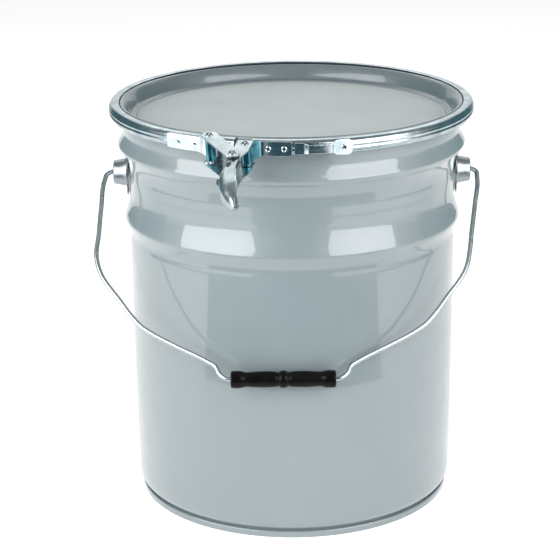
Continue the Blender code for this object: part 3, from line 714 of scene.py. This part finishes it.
# ---------------------------------------------------------------- pins, link and lever
def head_outline(base, side, shank_end):
    """Half of a riveted pin, from its shank end to the middle of its grooved head."""
    outline = [(PIN_RADIUS, side * shank_end), (PIN_RADIUS, side * base)]
    return outline + [(r, side * (base + z)) for r, z in millimetres(PIN_HEAD)]


def add_groove(name, node, plan, base, side):
    """Floor of the groove round a pin's centre, a dark sheet of painted shade."""
    outline = [(r, side * (base + z)) for r, z in millimetres(PIN_GROOVE)]
    rides_with(lathe(name, outline, PAINTED_SHADE, latch_place(plan), around=28), node)


def build_pins():
    for name, node, plan, base in (("hinge_pin", "link_pin", LINK_PIN, LINK_HALF + 0.05 * MM),
                                   ("fulcrum_pin", "lever_pin", LEVER_PIN, LEVER_HALF + 0.05 * MM)):
        outline = list(reversed(head_outline(base, -1, base))) + head_outline(base, 1, base)
        stands_for(lathe(name, outline, PIN_ZINC, latch_place(plan), around=40), node)
        for side in (1, -1):
            add_groove(f"{name}_groove_{side + 2}", node, plan, base, side)
    half = LEVER_HALF
    shank = [(0, -half), (PIN_RADIUS, -half)] + [(PIN_RADIUS, half * k / 4) for k in range(-3, 4)]
    shank += [(PIN_RADIUS, half), (0, half)]
    piece = lathe("toggle_shank", shank, PIN_ZINC, latch_place(TOGGLE_PIN), around=32)
    stands_for(piece, "toggle_pin")
    base = LINK_HALF + 0.05 * MM
    for node, side in (("toggle_pin_upper_head", 1), ("toggle_pin_lower_head", -1)):
        outline = [(0, side * (LINK_HALF - LEAF))] + head_outline(base, side, LINK_HALF - LEAF)
        piece = lathe("rolled_" + node, outline, PIN_ZINC, latch_place(TOGGLE_PIN), around=40)
        stands_for(piece, node)
        add_groove(node + "_groove", node, TOGGLE_PIN, base, side)


def build_link():
    """Two round-ended plates joined by a short web on the drum side."""
    dx, dy = TOGGLE_PIN[0] - LINK_PIN[0], TOGGLE_PIN[1] - LINK_PIN[1]
    reach = math.hypot(dx, dy)
    heading = math.degrees(math.atan2(dy, dx))
    unit, right = (dx / reach, dy / reach), (dy / reach, -dx / reach)
    outline = arc(TOGGLE_PIN, LINK_HALF_WIDTH, heading - 90, heading + 90, 20)
    outline += arc(LINK_PIN, LINK_HALF_WIDTH, heading + 90, heading + 270, 20)

    def local(along, across):
        return (LINK_PIN[0] + unit[0] * along + right[0] * across,
                LINK_PIN[1] + unit[1] * along + right[1] * across)

    wide = LINK_HALF_WIDTH
    web = [local(-2 * MM, wide - LEAF), local(11 * MM, wide - LEAF)]
    web += [local(11 * MM, wide), local(-2 * MM, wide)]
    plates = (("link_top_plate", outline, LINK_HALF - LEAF, LINK_HALF),
              ("link_lower_plate", outline, -LINK_HALF, -LINK_HALF + LEAF),
              ("link_web", web, -LINK_HALF + 0.3 * MM, LINK_HALF - 0.3 * MM))
    for name, shape, low, high in plates:
        rows = [[latch_point(p, z) for p in shape] for z in (low, high)]
        piece = bevelled(skin(name, rows, LEVER_ZINC), 0.3 * MM)
        if name == "link_top_plate":
            stands_for(piece, "latch_link")
        else:
            rides_with(piece, "latch_link")


def lever_web(steps):
    """Web line of the open lever: straight past the pins, then sweeping round like the ring."""
    coarse = [(-3.4 * MM, 7.0 * MM)]
    heading = math.radians(0.5)
    for i in range(22):
        x, y = coarse[-1]
        coarse.append((x + LEVER_STEP * math.sin(heading), y + LEVER_STEP * math.cos(heading)))
        if i >= 11:
            heading += math.radians(5.0)
    return [tuple(p) for p in spline(coarse, steps)]


def channel(point, across, half, top, bottom, roundness):
    """Closed U-section with round bends, from the lower flange's edge to the upper one's."""
    wall = min(LEAF, 0.5 * half)
    bend = min(2.4 * MM + roundness * 5.0 * MM, 0.85 * half)
    outer = [(bottom, -half), (0.5 * (bottom + bend), -half)]
    outer += arc((bend, -half + bend), bend, 270, 180, 10) + arc((bend, half - bend), bend, 180, 90, 10)
    outer += [(0.5 * (top + bend), half), (top, half)]
    outline = outer + list(reversed(offset(outer, wall)))
    return [latch_point((point[0] + across[0] * reach, point[1] + across[1] * reach), height)
            for reach, height in outline]


def build_lever():
    """Channel lever: wide flanges round its pins, a waist, a broad grip and a spooned tip."""
    web = lever_web(4)
    inner = offset(web, LEAF)
    rows = []
    for i, point in enumerate(web):
        u = i / (len(web) - 1)
        width = 15.0 * MM - 4.2 * MM * eased(u, 0.15, 0.34) + 3.6 * MM * eased(u, 0.38, 0.67)
        top = width - (width - 4.4 * MM) * eased(u, 0.72, 1.0)
        bottom = width - (width - 6.0 * MM) * eased(u, 0.80, 1.0)
        half = LEVER_HALF - 5.6 * MM * eased(u, 0.74, 1.06)
        tip = math.sqrt(max(1 - (max(u - 0.93, 0) / 0.0715) ** 2, 0.02))
        across = ((inner[i][0] - point[0]) / LEAF, (inner[i][1] - point[1]) / LEAF)
        rows.append(channel(point, across, half * tip, top * tip, bottom * tip, eased(u, 0.3, 0.7)))
    lever = skin("lever_channel", rows, LEVER_ZINC, sharp=50)
    stands_for(lever, "latch_lever")
    build_lever_slot()
    build_lever_nib(web[int(NIB_SHARE * len(web))])


def build_lever_slot():
    """Punched slot in the upper flange: a burred rim round a floor painted dark as shade."""
    along, out = SLOT_PLACE
    layers = (("lever_slot_rim", LEVER_ZINC, SLOT_RIM), ("lever_slot_floor", PAINTED_SHADE, SLOT_FLOOR))
    for name, look, profile in layers:
        rows = []
        for growth, rise in profile:
            points = []
            for k in range(32):
                angle = math.pi * k / 16
                x = (SLOT_HALF[0] + growth) * MM * math.cos(angle)
                y = (SLOT_HALF[1] + growth) * MM * math.sin(angle)
                points.append(latch_point((along + x, out + y), LEVER_HALF + rise * MM))
            rows.append(points)
        rides_with(skin(name, rows, look, loop=name.endswith("rim")), "latch_lever")


def build_lever_nib(point):
    """Small stop on the outer side of the lever's web, painted dark as shadow."""
    place = latch_place(point) @ Matrix.Rotation(math.radians(-90), 4, "Y")
    rides_with(lathe("lever_nib", millimetres(NIB), PAINTED_SHADE, place, around=28), "latch_lever")


# ---------------------------------------------------------------- bail and its ears
def build_ear(node, side):
    """Pressed cup on a tongue-shaped base plate with two weld spots."""
    base, face = 156.6 * MM, 170.5 * MM
    radius, face_radius, hole, wall = 14.2 * MM, 11.4 * MM, 2.7 * MM, 1.1 * MM
    place = Matrix.Translation((0, 0, BAIL_Z)) @ Matrix.Rotation(math.radians(90 * side), 4, "Y")
    line = [(hole, face - 0.5 * MM), (hole + 0.5 * MM, face)]
    line += [(6 * MM, face), (face_radius - 1.6 * MM, face)]
    line += arc((face_radius - 1.6 * MM, face - 1.6 * MM), 1.6 * MM, 80, 12, 6)
    line += [(12.0 * MM, face - 5 * MM), (12.7 * MM, base + 5 * MM), (13.2 * MM, base + 2.4 * MM)]
    line += [(13.9 * MM, base + 1.3 * MM), (15.0 * MM, base + 1.1 * MM), (15.0 * MM, base)]
    line += [(12.0 * MM, base), (face_radius - wall, face - 2 * wall), (hole, face - wall)]
    cup = lathe(node + "_cup", line, EAR_ZINC, place, around=72)
    stands_for(cup, node)
    low = BAIL_Z - 20.5 * MM
    outline = [(-13.0 * MM, BAIL_Z - 3 * MM), (-11 * MM, low + 4 * MM)]
    outline += arc((-7.5 * MM, low + 3.5 * MM), 3.5 * MM, 180, 270, 6)
    outline += arc((7.5 * MM, low + 3.5 * MM), 3.5 * MM, 270, 360, 6)
    outline += [(11 * MM, low + 4 * MM), (13.0 * MM, BAIL_Z - 3 * MM)]
    rows = [[(side * x, y, z) for y, z in outline] for x in (base + 0.05 * MM, base + 0.95 * MM)]
    tongue = bevelled(skin(node + "_plate", rows, EAR_ZINC), 0.25 * MM)
    rides_with(tongue, node)
    for number, y in enumerate((-5.0 * MM, 5.0 * MM)):
        spot = Matrix.Translation((side * (base + 0.9 * MM), y, BAIL_Z - 17.2 * MM))
        spot = spot @ Matrix.Rotation(math.radians(90 * side), 4, "Y")
        mark = lathe(f"{node}_weld_{number + 1}", millimetres(WELD_RIM), EAR_ZINC, spot, around=24)
        rides_with(mark, node)


def bail_point(x, reach):
    """Point of the bail's plane: sideways place and distance from the hinge line."""
    shift = BAIL_SHIFT * min(reach / BAIL_SHOULDER, 1)
    return Vector((x - shift, -reach * math.sin(BAIL_LEAN), BAIL_Z - reach * math.cos(BAIL_LEAN)))


def build_wire():
    """Bent round wire with an upset head inside each ear."""
    knots = [bail_point(-x, s) for x, s in BAIL_SIDE] + [bail_point(x, s) for x, s in reversed(BAIL_SIDE)]
    path = spline(knots, 6)
    across = Vector((0, math.cos(BAIL_LEAN), -math.sin(BAIL_LEAN)))
    rows = []
    last = len(path) - 1
    for i, point in enumerate(path):
        ahead = (path[min(i + 1, last)] - path[max(i - 1, 0)]).normalized()
        other = ahead.cross(across).normalized()
        angles = [2 * math.pi * k / 20 for k in range(20)]
        rows.append([point + WIRE_RADIUS * (across * math.cos(a) + other * math.sin(a)) for a in angles])
    upset = ((0.4 * MM, 1.85), (0.8 * MM, 1.9), (2.2 * MM, 1.8), (2.8 * MM, 1.3))
    start, end = [], []
    for shift, scale in upset:
        start.insert(0, [path[0] + Vector((shift, 0, 0)) + (p - path[0]) * scale for p in rows[0]])
        end.append([path[-1] - Vector((shift, 0, 0)) + (p - path[-1]) * scale for p in rows[-1]])
    stands_for(skin("bail_rod", start + rows + end, WIRE_ZINC), "bail_wire")


def build_grip():
    """Turned-looking moulded grip: centre ball, two swells and end collars."""
    r, half = GRIP_RADIUS, GRIP_HALF
    # (share of the grip's radius, distance from its middle)
    side = [(0.99, 0), (0.97, 1.6 * MM), (0.90, 3.2 * MM), (0.80, 4.3 * MM), (0.79, 5.0 * MM)]
    side += [(0.84, 6.6 * MM), (0.90, 11 * MM), (0.92, 18 * MM), (0.88, 27 * MM), (0.84, 32.0 * MM)]
    side += [(0.835, 33.6 * MM), (0.90, 36.0 * MM), (0.985, 39.0 * MM), (1.0, 41.5 * MM)]
    side += [(0.99, half - 2.4 * MM), (0.94, half - 0.6 * MM), (0.82, half)]
    side = [(share * r, x) for share, x in side]
    fine = [tuple(p) for p in spline(side, 4)]
    bore = [(2.6 * MM, half), (2.6 * MM, 0), (2.6 * MM, -half)]
    outline = [(radius, -x) for radius, x in reversed(fine[1:])] + fine + bore
    place = Matrix.Translation(bail_point(0, BAIL_REACH)) @ Matrix.Rotation(math.radians(90), 4, "Y")
    stands_for(lathe("moulded_grip", outline, PLASTIC, place, around=64), "bail_grip")


# ---------------------------------------------------------------- studio
AMBIENT = 0.35                    # light of the white room on the can, where 1 is the white backdrop
FLOOR_ALBEDO = 0.55
FLOOR_GLOW = 0.72                 # own light of the floor, which keeps it as white as the backdrop
CAMERA_PLACE = (0, -1.769, 0.7714)
CAMERA_TARGET = (-0.0123, 0, 0.2046)
CAMERA_ROLL = -0.0104
CAMERA_LENS = 122.19

# Area lights: (name, azimuth, distance, height, (width, length), watts)
SOFTBOXES = (
    ("left_softbox", -51, 1.5, 0.86, (1.6, 1.5), 39),
    ("right_softbox", 47, 1.5, 0.86, (1.4, 1.5), 32),
    ("back_softbox", 180, 1.9, 1.5, (1.6, 1.0), 8),
)

# Cards seen only in reflections: (name, azimuths, two (radius, height) edges, radiance)
CARDS = (
    ("table_edge", (-56, 56), ((0.52, 0.003), (1.02, 0.004)), (0.02, 0.12, 0.16)),
    ("table_front", (-26, 26), ((1.16, 0.004), (1.43, 0.005)), (0.03, 0.10, 0.13)),
    ("table_rim", (-110, 110), ((1.02, 0.003), (1.16, 0.004)), (0.05, 0.12, 0.15)),
    ("left_glow", (-84, -26), ((1.16, 0.003), (1.80, 0.004)), (1.7, 1.75, 1.75)),
    ("right_glow", (26, 80), ((1.16, 0.003), (1.80, 0.004)), (1.7, 1.75, 1.75)),
    ("camera_side", (-23, 23), ((1.43, 0.0), (1.43, 2.4)), (0.03, 0.07, 0.09)),
    ("room_left", (-150, -92), ((1.7, 0.0), (1.7, 1.4)), (0.10, 0.20, 0.24)),
    ("room_right", (92, 150), ((1.7, 0.0), (1.7, 1.4)), (0.10, 0.20, 0.24)),
    ("back_wall", (132, 228), ((2.0, 0.4), (2.0, 3.6)), (0.98, 1.02, 1.02)),
)


def stage_material(name, colour, glow, strength):
    look = new_look(name, Roughness=0.9)
    shader = look.node_tree.nodes["Principled BSDF"]
    shader.inputs["Base Color"].default_value = (*colour, 1.0)
    shader.inputs["Specular IOR Level"].default_value = 0.0
    shader.inputs["Emission Color"].default_value = (*glow, 1.0)
    shader.inputs["Emission Strength"].default_value = strength
    return look


def build_floor():
    half = 6.0
    corners = [(-half, -half, 0), (half, -half, 0), (half, half, 0), (-half, half, 0)]
    albedo = (FLOOR_ALBEDO, FLOOR_ALBEDO, FLOOR_ALBEDO)
    look = stage_material("floor_white", albedo, (1.0, 1.0, 1.0), FLOOR_GLOW)
    floor = new_piece("floor", corners, [(0, 1, 2, 3)], look)


def reflector(name, azimuths, edges, colour):
    """Curved card between two (radius, height) edges round the can, which only shows in reflections."""
    points, faces = [], []
    steps = 24
    for i in range(steps + 1):
        angle = math.radians(azimuths[0] + (azimuths[1] - azimuths[0]) * i / steps - 90)
        points += [(radius * math.cos(angle), radius * math.sin(angle), z) for radius, z in edges]
        if i:
            faces.append((2 * i - 2, 2 * i, 2 * i + 1, 2 * i - 1))
    card = new_piece(name, points, faces, stage_material(name + "_card", (0.0, 0.0, 0.0), colour, 1.0))
    card.visible_camera = False
    card.visible_diffuse = False
    card.visible_shadow = False
    card.visible_transmission = False


def softbox(name, azimuth, distance, height, size, power):
    light = bpy.data.lights.new(name, "AREA")
    light.shape = "RECTANGLE"
    light.size, light.size_y = size
    light.energy = power
    made = bpy.data.objects.new(name, light)
    bpy.context.scene.collection.objects.link(made)
    angle = math.radians(azimuth)
    made.location = (distance * math.sin(angle), -distance * math.cos(angle), height)
    aim = Vector((0, 0, 0.25)) - made.location
    made.rotation_euler = aim.to_track_quat("-Z", "Y").to_euler()


def build_studio():
    world = bpy.data.worlds.new("studio_white")
    world.use_nodes = True
    nodes, links = world.node_tree.nodes, world.node_tree.links
    background = nodes["Background"]
    background.inputs["Color"].default_value = (1.0, 1.0, 1.0, 1.0)
    seen = nodes.new("ShaderNodeLightPath").outputs["Is Camera Ray"]
    level = nodes.new("ShaderNodeMapRange")
    level.inputs["To Min"].default_value = AMBIENT
    level.inputs["To Max"].default_value = 1.0
    links.new(seen, level.inputs["Value"])
    links.new(level.outputs["Result"], background.inputs["Strength"])
    bpy.context.scene.world = world
    bpy.context.scene.view_settings.view_transform = "Standard"
    build_floor()
    for name, azimuth, distance, height, size, power in SOFTBOXES:
        softbox(name, azimuth, distance, height, size, power)
    for name, azimuths, edges, colour in CARDS:
        reflector(name, azimuths, edges, colour)


def build_camera():
    data = bpy.data.cameras.new("camera")
    data.sensor_width = 36.0
    data.lens = CAMERA_LENS
    data.clip_end = 50.0
    camera = bpy.data.objects.new("camera", data)
    bpy.context.scene.collection.objects.link(camera)
    place = Vector(CAMERA_PLACE)
    ahead = (Vector(CAMERA_TARGET) - place).normalized()
    right = ahead.cross(Vector((0, 0, 1))).normalized()
    up = right.cross(ahead)
    turned_right = right * math.cos(CAMERA_ROLL) + up * math.sin(CAMERA_ROLL)
    turned_up = up * math.cos(CAMERA_ROLL) - right * math.sin(CAMERA_ROLL)
    turn = Matrix((turned_right, turned_up, -ahead)).transposed().to_4x4()
    camera.matrix_world = Matrix.Translation(place) @ turn
    bpy.context.scene.camera = camera


# ---------------------------------------------------------------- build
build_camera()
build_studio()
build_shell()
build_bottom()
build_lid()
build_gasket()
build_ring()
build_brackets()
build_staple()
build_rivets()
build_pins()
build_link()
build_lever()
build_ear("left_bail_ear", -1)
build_ear("right_bail_ear", 1)
build_wire()
build_grip()
